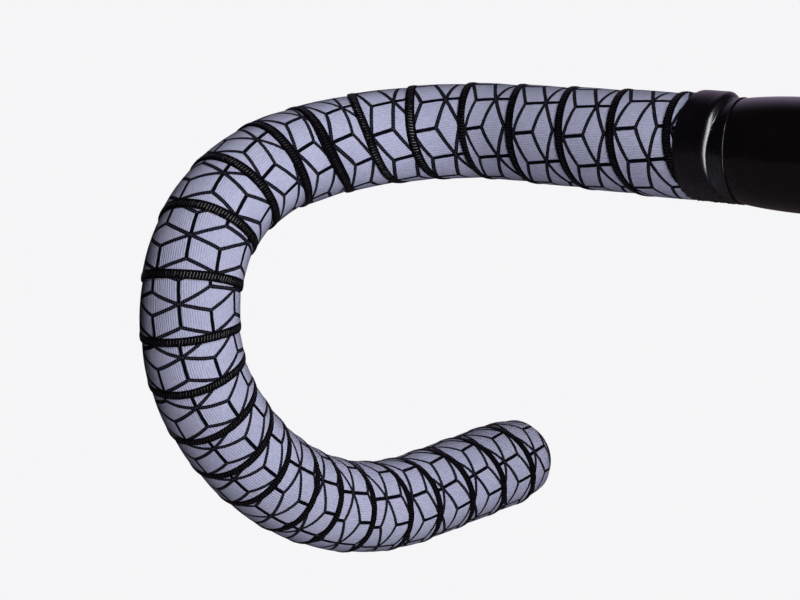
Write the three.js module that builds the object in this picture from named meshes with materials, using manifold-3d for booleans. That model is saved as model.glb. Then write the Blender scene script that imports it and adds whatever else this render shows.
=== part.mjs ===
// Half of a drop handlebar, taped: the tube from the bar end to the middle of the stem clamp, one length
// of woven ribbon tape wound over it, the adhesive tape that finishes the winding, and the end plug.
// Millimetres. The origin is the middle of the stem clamp, on the tube's axis. +X runs inboard along the
// tops, -Y is forward and +Z is up, so this half lies at -X.
import * as THREE from 'three';
import { mergeVertices } from 'three/addons/utils/BufferGeometryUtils.js';
import Module from 'manifold-3d';

const wasm = await Module();
wasm.setup();

// Shape of the bar's centre line
const half_width = 210;         // middle of the clamp to the hoods
const clamp_half = 25;          // straight stretch for the stem, from the middle
const sweep_radius = 300;       // slight bend beside it
const tops_sweep = 1.8;         // degrees, the tops from there outwards
const corner_radius = 42;       // where the tops turn forward
const ramp_length = 10;         // straight ramp in front of the corner
const ramp_slope = 5.7;         // degrees below level
const hood_bend_radius = 61;
const front_bend_radius = 35.5;
const low_bend_radius = 51.5;
const grip_bend_radius = 105;
const hook_bends = [            // the drop, from the ramp round to the grip
  { radius: hood_bend_radius, degrees: 24.3 },
  { radius: front_bend_radius, degrees: 49 },
  { radius: low_bend_radius, degrees: 42.8 },
  { radius: grip_bend_radius, degrees: 60 },
];
const grip_length = 52.2;        // straight end of the drop
const flare = 2.3;              // degrees, how far the drops lean outwards
const bar_tilt = 1.6;           // degrees, how far the bar is turned in the clamp

// Tube
const grip_radius = 11.9;
const tube_wall = 1.6;
const tops_taper = 0.012;       // growth of the radius for each millimetre along the tops
const clamp_radius = 15.9;
const bulge_start = 97;         // distances from the middle of the clamp
const bulge_end = 60;

// Winding
const tape_thickness = 2.43;    // the overlapped ribbon, mean
const selvedge_width = 2.4;
const selvedge_height = 0.35;
const edge_step = 0.7;          // how far a turn's edge stands above the turn that it laps over
const guide_offset = 12.4;      // from a turn's edge to the line on which the turns are spaced
const last_turn = 26;
const turn_at = [               // that line on each turn, from the bar end
  5.5, 21, 36.5, 52.5, 69, 83, 101, 118.5, 131, 148, 160.5, 173.5, 187, 199, 213.5, 228.5, 242,
  258.5, 277, 298.5, 314.5, 331.5, 348, 367, 386, 406, 427.5,
];
const lean_in = [               // how far a turn leans from square, across and sideways
  [0, -1], [4, 1], [8, 2], [12, 2.5], [15, 1.5], [17, 1.5], [18, 4], [19, 4.5], [20, 1], [22, -1.5], [26, 1],
];
const lean_aside = [
  [0, 1], [4, 1.5], [8, 2.5], [12, 2], [15, 0], [17, 3], [18, 3], [19, 5], [20, 1], [22, -2.5], [26, 2],
];
const cloth_give = 1.1;         // how much of a bend the cloth takes up
const eased_over = 12;          // each way along the bar
const turn_phase = [[0, 229], [8, 221], [12.5, 218], [17, 204], [21, 216], [25.5, 191]];

// Ends of the winding
const fold_thickness = 1.2;     // ribbon turned in over the bar end
const fold_length = 13;
const rim_round = 1.9;
const rim_thinning = 1.3;       // the first turn laps over nothing, so the end is thinner
const thinned_length = 9;
const tape_end = { mean: 94.5, top: -1.5, back: 3.2 };     // the cut end, from the middle of the clamp
const finish_from = 101.5;      // outer edge of the adhesive tape
const finish_to = { mean: 87.8, top: 0.8, back: 2.4 };
const finish_thickness = 0.4;
const finish_over_grip = 3.55;  // its mean outside, from the grip's tube
const finish_radius = grip_radius + finish_over_grip;
const finish_lift = 0.65;       // the wound end is thicker above than below
const finish_shoulder = 4;      // length of the step down to the tube

// Plug
const plug_cap_inset = 0.9;     // from the tube's outside
const plug_cap_thickness = 2.2;
const plug_length = 22;
const plug_wall = 1.6;
const plug_ribs = 3;
const plug_rib_height = 0.5;

const clearance = 0.3;          // between pieces that touch
const cutter_reach = 80;        // length and width of what is cut away past the ends of the winding
const segments_a_turn = 24;
const tube_sides = 20;
const bend_step = 6;            // degrees between rings in a bend
const bulge_steps = 6;

const radians = THREE.MathUtils.degToRad;
const smooth = THREE.MathUtils.smoothstep;
const mix = THREE.MathUtils.lerp;
const full_turn = 2 * Math.PI;
const clamp_axis = new THREE.Vector3(1, 0, 0);

// Centre line: straight runs and bends, laid end to end from the clamp outwards
function run_frame(run, distance) {
  const { point, tangent, normal } = run.start;
  if (!run.radius) {
    const along = point.clone().addScaledVector(tangent, distance);
    return { point: along, tangent, normal, bend: new THREE.Vector3() };
  }
  const turned = (v) => v.clone().applyAxisAngle(run.axis, distance / run.radius);
  const inward = run.axis.clone().cross(tangent);
  const centre = point.clone().addScaledVector(inward, run.radius);
  return {
    point: turned(point.clone().sub(centre)).add(centre),
    tangent: turned(tangent),
    normal: turned(normal),
    bend: turned(inward).divideScalar(run.radius),
  };
}

function lay_runs(start, runs) {
  let from = 0;
  return runs.map((run) => {
    const laid = { ...run, start, from };
    start = run_frame(laid, run.length);
    from += run.length;
    return laid;
  });
}

function bar_runs() {
  const slope = radians(ramp_slope);
  const sweep = radians(tops_sweep);
  const forward = new THREE.Vector3(0, -1, 0);
  const down = new THREE.Vector3(-Math.sin(radians(flare)), 0, -Math.cos(radians(flare)));
  const out = new THREE.Vector3(-Math.cos(sweep), -Math.sin(sweep), 0);
  const ramp = forward.clone().multiplyScalar(Math.cos(slope)).addScaledVector(down, Math.sin(slope));
  const under = down.clone().multiplyScalar(Math.cos(slope)).addScaledVector(forward, -Math.sin(slope));
  const up = new THREE.Vector3(0, 0, 1);
  const corner_axis = out.clone().cross(ramp).normalize();
  const corner_angle = out.angleTo(ramp);
  const hook_axis = ramp.clone().cross(under);
  const corner_reach = -corner_radius * Math.tan(corner_angle / 2) * (out.x + ramp.x);
  const swept_length = half_width - corner_reach - clamp_half - sweep_radius * Math.sin(sweep);
  const start = {
    point: new THREE.Vector3(),
    tangent: new THREE.Vector3(-1, 0, 0),
    normal: under.clone().applyAxisAngle(corner_axis, -corner_angle).applyAxisAngle(up, -sweep),
  };
  [start.normal, up, corner_axis, hook_axis].forEach((v) => v.applyAxisAngle(clamp_axis, radians(bar_tilt)));
  const hook = hook_bends.map(({ radius, degrees }) => {
    return { radius, length: radius * radians(degrees), axis: hook_axis };
  });
  return lay_runs(start, [
    { length: clamp_half },
    { radius: sweep_radius, length: sweep_radius * sweep, axis: up },
    { length: swept_length / Math.cos(sweep) },
    { name: 'corner', radius: corner_radius, length: corner_radius * corner_angle, axis: corner_axis },
    { length: ramp_length },
    ...hook,
    { length: grip_length },
  ]);
}

const runs = bar_runs();
const corner_start = runs.find((run) => run.name === 'corner').from;
const bar_length = runs.reduce((sum, run) => sum + run.length, 0);

// The frame at a distance from the bar end; its tangent points towards the clamp
function frame_at(s) {
  const distance = bar_length - s;
  const run = runs.findLast((r) => distance >= r.from) ?? runs[0];
  const { point, tangent, normal, bend } = run_frame(run, distance - run.from);
  const along = tangent.clone().negate();
  return { point, along, normal, side: along.clone().cross(normal), bend };
}

function spoke(frame, angle) {
  return frame.normal.clone().multiplyScalar(Math.cos(angle)).addScaledVector(frame.side, Math.sin(angle));
}

function surface_point(s, angle, radius) {
  const frame = frame_at(s);
  return frame.point.clone().addScaledVector(spoke(frame, angle), radius);
}

// Rings stand closer together in bends and on the bulge than on the straights
function stations(from, to) {
  const steps = Array.from({ length: bulge_steps + 1 }, (_, k) => k / bulge_steps);
  const bulge = steps.map((step) => mix(bulge_start, bulge_end, step));
  const changes = [...runs.map((run) => run.from), ...bulge].map((distance) => bar_length - distance);
  const marks = [from, ...changes.filter((s) => s > from && s < to).sort((a, b) => a - b), to];
  return marks.flatMap((start, i) => {
    if (i === marks.length - 1) {
      return [start];
    }
    const length = marks[i + 1] - start;
    const bend = frame_at(start + length / 2).bend.length();
    const count = Math.max(1, Math.ceil(length * bend / radians(bend_step)));
    return Array.from({ length: count }, (_, k) => start + length * k / count);
  });
}

// Radii along the bar
function tube_radius(s) {
  const from_middle = bar_length - s;
  const grown = grip_radius + tops_taper * Math.max(0, corner_start - Math.max(from_middle, bulge_start));
  const u = THREE.MathUtils.clamp((bulge_start - from_middle) / (bulge_start - bulge_end), 0, 1);
  return mix(clamp_radius, grown, (1 - u) ** 3);
}

function taped_radius(s) {
  const from_middle = bar_length - s;
  const thinner = rim_thinning * smooth(thinned_length - s, 0, thinned_length);
  return grip_radius + tape_thickness - thinner + tops_taper * Math.max(0, corner_start - from_middle);
}

// Meshes
function mesh_geometry(points, triangles) {
  const raw = new THREE.BufferGeometry();
  raw.setAttribute('position', new THREE.Float32BufferAttribute(points.flatMap((p) => p.toArray()), 3));
  raw.setIndex(triangles.flat());
  const merged = mergeVertices(raw, 1e-4);
  return faced_out(merged);
}

function signed_volume(geometry) {
  const position = geometry.getAttribute('position');
  const index = geometry.getIndex();
  const corner = (i) => new THREE.Vector3().fromBufferAttribute(position, index.getX(i));
  let volume = 0;
  for (let i = 0; i < index.count; i += 3) {
    volume += corner(i).dot(corner(i + 1).cross(corner(i + 2))) / 6;
  }
  return volume;
}

function faced_out(geometry) {
  if (signed_volume(geometry) > 0) {
    return geometry;
  }
  const index = Array.from(geometry.getIndex().array);
  for (let i = 0; i < index.length; i += 3) {
    [index[i], index[i + 1]] = [index[i + 1], index[i]];
  }
  geometry.setIndex(index);
  return geometry;
}

// Rings of equally many points, each joined to the next. A hollow piece's last ring is joined to its first;
// a solid one is closed by a fan at each end.
function loft(rings, hollow) {
  const count = rings[0].length;
  const points = rings.flat();
  const triangles = [];
  const joints = hollow ? rings.length : rings.length - 1;
  for (let i = 0; i < joints; i += 1) {
    const near = i * count;
    const far = ((i + 1) % rings.length) * count;
    for (let k = 0; k < count; k += 1) {
      const next = (k + 1) % count;
      triangles.push([near + k, near + next, far + next], [near + k, far + next, far + k]);
    }
  }
  if (!hollow) {
    const last = rings.length - 1;
    const numbers = rings[0].map((_, k) => k);
    triangles.push(...fan(points, numbers, true, middle_of(rings[0])));
    triangles.push(...fan(points, numbers.map((k) => last * count + k), false, middle_of(rings[last])));
  }
  return mesh_geometry(points, triangles);
}

function middle_of(points) {
  return points.reduce((sum, p) => sum.add(p), new THREE.Vector3()).divideScalar(points.length);
}

// Closes a loop of point numbers with triangles round a middle point
function fan(points, loop, reversed, middle) {
  points.push(middle);
  const tip = points.length - 1;
  return loop.map((from, k) => {
    const to = loop[(k + 1) % loop.length];
    return reversed ? [to, from, tip] : [from, to, tip];
  });
}

function ring(s, sides, radius) {
  return Array.from({ length: sides }, (_, k) => {
    const angle = full_turn * k / sides;
    return surface_point(s, angle, radius(angle));
  });
}

function swept(from, to, sides, radius) {
  return stations(from, to).map((s) => ring(s, sides, () => radius(s)));
}

// Cutting and joining
function to_solid(geometry) {
  return new wasm.Manifold(new wasm.Mesh({
    numProp: 3,
    vertProperties: new Float32Array(geometry.getAttribute('position').array),
    triVerts: new Uint32Array(geometry.getIndex().array),
  }));
}

function to_geometry(solid) {
  const mesh = solid.getMesh();
  const geometry = new THREE.BufferGeometry();
  geometry.setAttribute('position', new THREE.Float32BufferAttribute(mesh.vertProperties, 3));
  geometry.setIndex(Array.from(mesh.triVerts));
  return geometry;
}

// A turned shape set on the bar end, its own axis along the bar and pointing out of the end
function turned_at_end(profile, sides) {
  const geometry = new THREE.LatheGeometry(profile.map(([r, z]) => new THREE.Vector2(r, z)), sides);
  geometry.deleteAttribute('normal');
  geometry.deleteAttribute('uv');
  const end = frame_at(0);
  const out = end.along.clone().negate();
  const basis = new THREE.Matrix4().makeBasis(end.normal, out, end.normal.clone().cross(out));
  geometry.applyMatrix4(basis.setPosition(end.point));
  return faced_out(mergeVertices(geometry, 1e-4));
}

function arc_profile(centre_r, centre_z, radius, from, to, steps) {
  return Array.from({ length: steps + 1 }, (_, k) => {
    const angle = radians(mix(from, to, k / steps));
    return [centre_r + radius * Math.cos(angle), centre_z + radius * Math.sin(angle)];
  });
}

// Tube: open at both ends
function handlebar_tube() {
  const outer = swept(0, bar_length, tube_sides, tube_radius);
  const inner = swept(0, bar_length, tube_sides, (s) => tube_radius(s) - tube_wall);
  return loft([...outer, ...inner.reverse()], true);
}

// Winding: a value on a line of [turn, value] stops
function value_at(stops, turn) {
  const i = THREE.MathUtils.clamp(stops.findLastIndex(([t]) => turn >= t), 0, stops.length - 2);
  const [[t0, v0], [t1, v1]] = [stops[i], stops[i + 1]];
  return mix(v0, v1, THREE.MathUtils.clamp((turn - t0) / (t1 - t0), 0, 1));
}

// Distance along the bar at a turn, on a smooth curve through the turns' places
function guide_at(turn) {
  const last = turn_at.length - 1;
  const mark = (i) => {
    if (i < 0) {
      return turn_at[0] + i * (turn_at[1] - turn_at[0]);
    }
    return i > last ? turn_at[last] + (i - last) * (turn_at[last] - turn_at[last - 1]) : turn_at[i];
  };
  const low = Math.floor(turn);
  const u = turn - low;
  const [a, b, c, d] = [-1, 0, 1, 2].map((k) => mark(low + k));
  return b + u / 2 * (c - a + u * (2 * a - 5 * b + 4 * c - d + u * (3 * (b - c) + d - a)));
}

// The bend at a distance along the bar, smoothed over the neighbouring stretch
function eased_bend(s) {
  const steps = [-1, -0.75, -0.5, -0.25, 0, 0.25, 0.5, 0.75, 1];
  const bends = steps.map((step) => frame_at(s + step * eased_over).bend);
  return bends.reduce((sum, bend) => sum.add(bend), new THREE.Vector3()).divideScalar(steps.length);
}

function turn_angle(turn) {
  return full_turn * turn + radians(value_at(turn_phase, turn));
}

// Distance along the bar of a turn's edge. Cloth keeps its width, so in a bend the edge moves less along
// the outside and more along the inside.
function edge_position(turn) {
  const guide = guide_at(turn);
  const angle = turn_angle(turn);
  const reach = spoke(frame_at(guide), angle).multiplyScalar(taped_radius(guide));
  const lean = value_at(lean_in, turn) * Math.cos(angle) + value_at(lean_aside, turn) * Math.sin(angle);
  return guide + lean - guide_offset / (1 - cloth_give * eased_bend(guide).dot(reach));
}

// One turn's section from its own edge to the edge of the turn that laps over it
function turn_section(turn) {
  const own = edge_position(turn);
  const next = edge_position(turn + 1);
  const low = -edge_step / 2;
  const high = edge_step / 2;
  const selvedge = Math.min(selvedge_width, (next - own) / 3);
  const fall = [
    [own, high + selvedge_height / 2],
    [own + selvedge, high + selvedge_height / 2],
    [own + 1.25 * selvedge, high - selvedge_height / 2],
    [next, low],
  ];
  const angle = turn_angle(turn);
  return fall.map(([s, rise]) => surface_point(s, angle, taped_radius(s) + rise));
}

// The wound ribbon as a solid log, longer than the bar at both ends
function wound_log() {
  const first = -2;
  const count = Math.round((last_turn + 1 - first) * segments_a_turn);
  const sections = Array.from({ length: count + 1 }, (_, i) => turn_section(first + i / segments_a_turn));
  const width = sections[0].length;
  const points = sections.flat();
  const at = (i, k) => i * width + k;
  const triangles = [];
  const quad = (a, b, c, d) => triangles.push([a, b, c], [a, c, d]);
  for (let i = 0; i < count; i += 1) {
    for (let k = 0; k < width - 1; k += 1) {
      quad(at(i, k), at(i + 1, k), at(i + 1, k + 1), at(i, k + 1));
    }
    const lapping = i + segments_a_turn;
    if (lapping < count) {
      quad(at(i, width - 1), at(i + 1, width - 1), at(lapping + 1, 0), at(lapping, 0));
    }
  }
  const steps = Array.from({ length: segments_a_turn + 1 }, (_, i) => i);
  const across = Array.from({ length: width }, (_, k) => k);
  const back = across.toReversed();
  const end = count - segments_a_turn;
  const start_loop = [...steps.map((i) => at(i, 0)), ...back.slice(0, -1).map((k) => at(0, k))];
  const end_loop = [...steps.map((i) => at(end + i, width - 1)), ...back.slice(1).map((k) => at(count, k))];
  const middle = (turn) => frame_at(edge_position(turn)).point;
  triangles.push(...fan(points, start_loop, true, middle(first + 0.5)));
  triangles.push(...fan(points, end_loop, false, middle(last_turn + 1.5)));
  return to_solid(mesh_geometry(points, triangles));
}

// Where a slanted end lies along the bar, at an angle round it
function end_place(end, s, angle) {
  const out = spoke(frame_at(s), angle);
  return bar_length - end.mean - end.top * out.z - end.back * out.y;
}

// Finishing tape: outer radius at a distance from the bar end and an angle round the bar
function finish_outer(s, angle) {
  const over_tape = finish_radius + finish_lift * spoke(frame_at(s), angle).z;
  const over_tube = tube_radius(s) + clearance + finish_thickness;
  const down = smooth(s - end_place(tape_end, s, angle), 0, finish_shoulder);
  return Math.max(over_tube, mix(over_tape, over_tube, down));
}

function finishing_tape() {
  const rows = 12;
  const from = bar_length - finish_from;
  const middle = bar_length - finish_to.mean;
  const rings = (drop) => Array.from({ length: rows + 1 }, (_, i) => {
    return Array.from({ length: segments_a_turn }, (_, k) => {
      const angle = full_turn * k / segments_a_turn;
      const s = mix(from, end_place(finish_to, middle, angle), i / rows);
      return surface_point(s, angle, finish_outer(s, angle) - drop);
    });
  });
  return loft([...rings(0), ...rings(finish_thickness).reverse()], true);
}

// What the winding leaves free for the finishing tape, and everything beyond its slanted end
function finish_groove() {
  const far = 2 * finish_radius;
  const rows = 12;
  const from = bar_length - finish_from - clearance;
  const to = bar_length - finish_to.mean + finish_shoulder;
  const inner = Array.from({ length: rows + 1 }, (_, i) => {
    const s = mix(from, to, i / rows);
    return ring(s, segments_a_turn, (angle) => finish_outer(s, angle) - finish_thickness - clearance);
  });
  const outer = [from, to].map((s) => ring(s, segments_a_turn, () => far));
  return to_solid(loft([...inner, ...outer.reverse()], true));
}

// The wedge of ribbon past the slanted cut
function end_cutter() {
  const far = 2 * finish_radius;
  const middle = bar_length - tape_end.mean;
  const rows = [0, cutter_reach].map((reach) => Array.from({ length: segments_a_turn }, (_, k) => {
    const angle = full_turn * k / segments_a_turn;
    const slant = (end_place(tape_end, middle, angle) - middle) * far / finish_radius;
    return surface_point(middle + slant + reach, angle, far);
  }));
  return to_solid(loft(rows, false));
}

// Ribbon turned in over the bar end
function turned_in_rim() {
  const radius = taped_radius(0) - edge_step / 4;
  const face = clearance + fold_thickness;
  const bore = grip_radius - tube_wall;
  const fold_outer = bore - clearance;
  const fold_inner = fold_outer - fold_thickness;
  const lap = 3;
  const profile = [
    [radius, -lap],
    ...arc_profile(radius - rim_round, face - rim_round, rim_round, 0, 90, 4),
    ...arc_profile(fold_inner + fold_thickness, face - fold_thickness, fold_thickness, 90, 180, 3),
    [fold_inner, -fold_length],
    [fold_outer, -fold_length],
    [fold_outer, clearance],
    [grip_radius + clearance, clearance],
    [grip_radius + clearance, -lap],
    [radius, -lap],
  ];
  return to_solid(turned_at_end(profile, segments_a_turn));
}

function bar_end_cutter() {
  const far = 2 * (grip_radius + tape_thickness);
  const from = rim_round - fold_thickness - clearance;
  const rings = [from, -cutter_reach].map((s) => ring(s, segments_a_turn, () => far));
  return to_solid(loft(rings, false));
}

function handlebar_tape() {
  const hollow = swept(-cutter_reach, bar_length, tube_sides, (s) => tube_radius(s) + clearance);
  const core = to_solid(loft(hollow, false));
  const wound = wound_log().subtract(bar_end_cutter()).subtract(end_cutter()).subtract(finish_groove());
  return to_geometry(wound.subtract(core).add(turned_in_rim()));
}

// Push-in plug: a low round cap on a hollow ribbed stem
function end_plug() {
  const stem = grip_radius - tube_wall - fold_thickness - 2 * clearance;
  const core = stem - plug_rib_height;
  const seat = 2 * clearance + fold_thickness;
  const top = seat + plug_cap_thickness;
  const cap_radius = grip_radius - plug_cap_inset;
  const rounding = plug_cap_thickness / 2;
  const rib_pitch = (plug_length - seat) / (plug_ribs + 1);
  const rib_starts = Array.from({ length: plug_ribs }, (_, k) => rib_pitch * (k + 0.5) - plug_length);
  const ribs = rib_starts.flatMap((z) => [[core, z], [stem, z + rib_pitch / 3], [core, z + rib_pitch / 2]]);
  const profile = [
    [0, seat],
    [core - plug_wall, seat],
    [core - plug_wall, -plug_length],
    [core, -plug_length],
    ...ribs,
    [core, seat],
    [cap_radius, seat],
    ...arc_profile(cap_radius - rounding, top - rounding, rounding, 0, 90, 3),
    [0, top + plug_cap_thickness / 6],
  ];
  return turned_at_end(profile, segments_a_turn);
}

function piece(name, geometry, colour, roughness, metalness) {
  const material = new THREE.MeshStandardMaterial({ color: colour, roughness, metalness });
  const mesh = new THREE.Mesh(geometry, material);
  mesh.name = name;
  return mesh;
}

const handlebar = new THREE.Group();
handlebar.add(
  piece('handlebar_tube', handlebar_tube(), 0x0c0c0e, 0.25, 0.4),
  piece('handlebar_tape', handlebar_tape(), 0xaaaac8, 0.8, 0),
  piece('finishing_tape', finishing_tape(), 0x101014, 0.3, 0),
  piece('end_plug', end_plug(), 0x141416, 0.5, 0),
);

export default handlebar;
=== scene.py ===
import math

import bpy
import numpy as np
from mathutils import Matrix, Vector


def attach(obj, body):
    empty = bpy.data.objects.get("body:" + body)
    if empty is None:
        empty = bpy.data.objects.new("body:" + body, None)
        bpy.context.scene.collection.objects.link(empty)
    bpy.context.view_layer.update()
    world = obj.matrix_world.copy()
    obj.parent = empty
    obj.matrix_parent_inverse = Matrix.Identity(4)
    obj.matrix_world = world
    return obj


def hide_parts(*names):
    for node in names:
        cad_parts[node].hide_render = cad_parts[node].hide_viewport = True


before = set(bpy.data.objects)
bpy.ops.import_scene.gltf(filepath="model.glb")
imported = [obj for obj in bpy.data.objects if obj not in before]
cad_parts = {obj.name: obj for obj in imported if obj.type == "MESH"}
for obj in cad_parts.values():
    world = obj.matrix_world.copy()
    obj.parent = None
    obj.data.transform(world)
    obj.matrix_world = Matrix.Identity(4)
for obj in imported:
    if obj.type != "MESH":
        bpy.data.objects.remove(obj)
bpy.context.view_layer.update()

# Lengths are in millimetres and angles in degrees until a mesh is made, which is in metres.
MM = 0.001
BODY = "root"
VECTORS = "FLOAT_VECTOR"

# Centre line of the bar, from the middle of the clamp outwards
HALF_WIDTH = 210.0
CLAMP_HALF = 25.0
SWEEP_RADIUS = 300.0
TOPS_SWEEP = 1.8
CORNER_RADIUS = 42.0
RAMP_LENGTH = 10.0
RAMP_SLOPE = 5.7
HOOK_BENDS = ((61.0, 24.3), (35.5, 49.0), (51.5, 42.8), (105.0, 60.0))
GRIP_LENGTH = 52.2
FLARE = 2.3
BAR_TILT = 1.6

# Tube
GRIP_RADIUS = 11.9
TUBE_WALL = 1.6
TOPS_TAPER = 0.012
CLAMP_RADIUS = 15.9
BULGE_START = 97.0
BULGE_END = 60.0

# Winding
TAPE_THICKNESS = 2.43
SELVEDGE_WIDTH = 2.6
GUIDE_OFFSET = 12.4
# Where each turn lies along the bar, and how far it leans inwards and sideways from square
TURN_AT = (
    5.5, 21, 36.5, 52.5, 69, 83, 101, 118.5, 131, 148, 160.5, 173.5, 187, 199, 213.5, 228.5, 242,
    258.5, 277, 298.5, 314.5, 331.5, 348, 367, 386, 406, 427.5,
)
LEAN_IN = (
    (0, -1), (4, 1), (8, 2), (12, 2.5), (15, 1.5), (17, 1.5), (18, 4), (19, 4.5), (20, 1), (22, -1.5),
    (26, 1),
)
LEAN_ASIDE = (
    (0, 1), (4, 1.5), (8, 2.5), (12, 2), (15, 0), (17, 3), (18, 3), (19, 5), (20, 1), (22, -2.5), (26, 2),
)
CLOTH_GIVE = 1.1
# How far the stars slip along the ribbon and across it, and how much the upright lines lean
STAR_SLIP = (
    (0, 1), (1, 0), (5, 0.8), (7, 1.1), (8, 2.3), (9, 1.4), (11, -0.3), (12, 0.5), (16, 0.9), (19, -0.2),
    (20, -0.2), (21, 0.8), (23, -2.6), (24, -0.5),
)
ROW_SLIP = ((4, -0.4), (6, 1.5), (8, 2.2), (9, -0.4), (19, -0.7), (20, 0.5), (21, -1))
CLOTH_SKEW = 0.13
TURN_PHASE = ((0, 229), (8, 221), (12.5, 218), (17, 204), (21, 216), (25.5, 191))
FIRST_TURN = -1.3
SECTIONS_A_TURN = 72

# Bar end: the ribbon goes over the rim and into the bore
RIM_ROUND = 1.9
RIM_THINNING = 1.3
THINNED_LENGTH = 9.0
RIM_FACE = 1.5
BORE_ROUND = 1.3
FOLD_RADIUS = 8.8
FOLD_DEPTH = 13.0

# Finishing tape
# The ribbon and this tape end on slanted planes: distance from the middle of the clamp, and
# how much further out it is on the top and at the back
TAPE_END = (94.5, 0.0, 3.2)
FINISH_TO = (87.8, 0.8, 2.4)
FINISH_FROM = 101.5
FINISH_RADIUS = 15.45
FINISH_LIFT = 0.65
FINISH_SLOPE = 1.15
FINISH_EASE = 1.7
FINISH_BRIDGE = 4.5
FINISH_THICKNESS = 0.25

# Plug
PLUG_CAP_RADIUS = 11.0
PLUG_CAP_THICKNESS = 2.2
PLUG_SEAT = 1.8
PLUG_STEM_RADIUS = 8.4
PLUG_LENGTH = 22.0
PLUG_WALL = 1.6

# Lattice of diamonds on the ribbon
STAR_HALF_SPACING = 9.2
STARS_A_TURN = 5
LATTICE_EDGE = 7.15
LINE_WIDTH = 1.15
RIB_PITCH = 0.9


# Centre line and its frames
def turn_about(vectors, axis, angles):
    """Turns vectors about one axis, each by its own angle in radians."""
    cos = np.cos(angles)[:, None]
    sin = np.sin(angles)[:, None]
    along = (vectors @ axis)[:, None] * axis
    return vectors * cos + np.cross(axis, vectors) * sin + along * (1 - cos)


def frames_in_run(run, distance):
    """Points, outward tangents, normals and bend vectors at distances from a run's start."""
    point, tangent, normal = run["start"]
    count = len(distance)
    if "radius" not in run:
        points = point + distance[:, None] * tangent
        return points, np.tile(tangent, (count, 1)), np.tile(normal, (count, 1)), np.zeros((count, 3))
    radius, axis = run["radius"], run["axis"]
    angles = distance / radius
    inward = np.cross(axis, tangent)
    centre = point + inward * radius
    spokes, tangents, normals = (
        turn_about(np.tile(v, (count, 1)), axis, angles) for v in (point - centre, tangent, normal))
    return centre + spokes, tangents, normals, -spokes / radius**2


def lay_runs(start, runs):
    laid, at = [], 0.0
    for run in runs:
        run = dict(run, start=start, at=at)
        end = frames_in_run(run, np.array([run["length"]]))
        start = tuple(part[0] for part in end[:3])
        at += run["length"]
        laid.append(run)
    return laid, at


def tilted(vector):
    """Turns a vector about the clamp's axis by the bar's tilt."""
    return turn_about(np.array([vector]), np.array([1.0, 0, 0]), np.radians([BAR_TILT]))[0]


def bar_runs():
    slope, sweep, lean = np.radians([RAMP_SLOPE, TOPS_SWEEP, FLARE])
    forward = np.array([0, -1.0, 0])
    down = np.array([-np.sin(lean), 0, -np.cos(lean)])
    out = np.array([-np.cos(sweep), -np.sin(sweep), 0])
    ramp = forward * np.cos(slope) + down * np.sin(slope)
    under = down * np.cos(slope) - forward * np.sin(slope)
    up = np.array([0, 0, 1.0])
    corner_axis = np.cross(out, ramp)
    corner_axis /= np.linalg.norm(corner_axis)
    corner_angle = np.arccos(out @ ramp)
    corner_reach = -CORNER_RADIUS * np.tan(corner_angle / 2) * (out[0] + ramp[0])
    tops_width = HALF_WIDTH - corner_reach - CLAMP_HALF - SWEEP_RADIUS * np.sin(sweep)
    normal = turn_about(np.array([under]), corner_axis, np.array([-corner_angle]))
    normal = turn_about(normal, up, np.array([-sweep]))[0]
    start = (np.zeros(3), np.array([-1.0, 0, 0]), tilted(normal))
    hook_axis = tilted(np.cross(ramp, under))
    hook = [{"radius": r, "length": r * np.radians(g), "axis": hook_axis} for r, g in HOOK_BENDS]
    return lay_runs(start, [
        {"length": CLAMP_HALF},
        {"radius": SWEEP_RADIUS, "length": SWEEP_RADIUS * sweep, "axis": tilted(up)},
        {"length": tops_width / np.cos(sweep)},
        {"radius": CORNER_RADIUS, "length": CORNER_RADIUS * corner_angle, "axis": tilted(corner_axis)},
        {"length": RAMP_LENGTH},
        *hook,
        {"length": GRIP_LENGTH},
    ])


RUNS, BAR_LENGTH = bar_runs()
CORNER_START = RUNS[3]["at"]


def frames_at(s):
    """Point, tangent towards the clamp, normal, side and bend vector at distances from the bar end."""
    distance = BAR_LENGTH - np.atleast_1d(np.asarray(s, float))
    result = [np.zeros((len(distance), 3)) for _ in range(4)]
    for i, run in enumerate(RUNS):
        low = -np.inf if i == 0 else run["at"]
        high = np.inf if i == len(RUNS) - 1 else run["at"] + run["length"]
        here = (distance >= low) & (distance < high)
        for whole, part in zip(result, frames_in_run(run, distance[here] - run["at"])):
            whole[here] = part
    points, tangents, normals, bends = result
    along = -tangents
    return points, along, normals, np.cross(along, normals), bends


def spokes_at(normals, sides, angles):
    """Unit vectors straight out from the bar at angles in radians."""
    return np.cos(angles)[..., None] * normals + np.sin(angles)[..., None] * sides


def tube_radius(s):
    from_middle = BAR_LENGTH - np.asarray(s, float)
    tapered = np.clip(CORNER_START - np.maximum(from_middle, BULGE_START), 0, None)
    radius = GRIP_RADIUS + TOPS_TAPER * tapered
    u = np.clip((BULGE_START - from_middle) / (BULGE_START - BULGE_END), 0, 1)
    return CLAMP_RADIUS + (radius - CLAMP_RADIUS) * (1 - u) ** 3


def taped_radius(s):
    s = np.asarray(s, float)
    from_middle = BAR_LENGTH - s
    near = np.clip(1 - s / THINNED_LENGTH, 0, 1)
    thinner = RIM_THINNING * near * near * (3 - 2 * near)
    tapered = np.clip(CORNER_START - from_middle, 0, None)
    return GRIP_RADIUS + TAPE_THICKNESS - thinner + TOPS_TAPER * tapered


# Winding
def stops(table, turns):
    return np.interp(turns, [t for t, _ in table], [v for _, v in table])


EVERY_MM = np.arange(-60.0, BAR_LENGTH + 60)
EASED_BEND = np.mean([frames_at(EVERY_MM + step)[4] for step in range(-12, 13)], axis=0)


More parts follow.
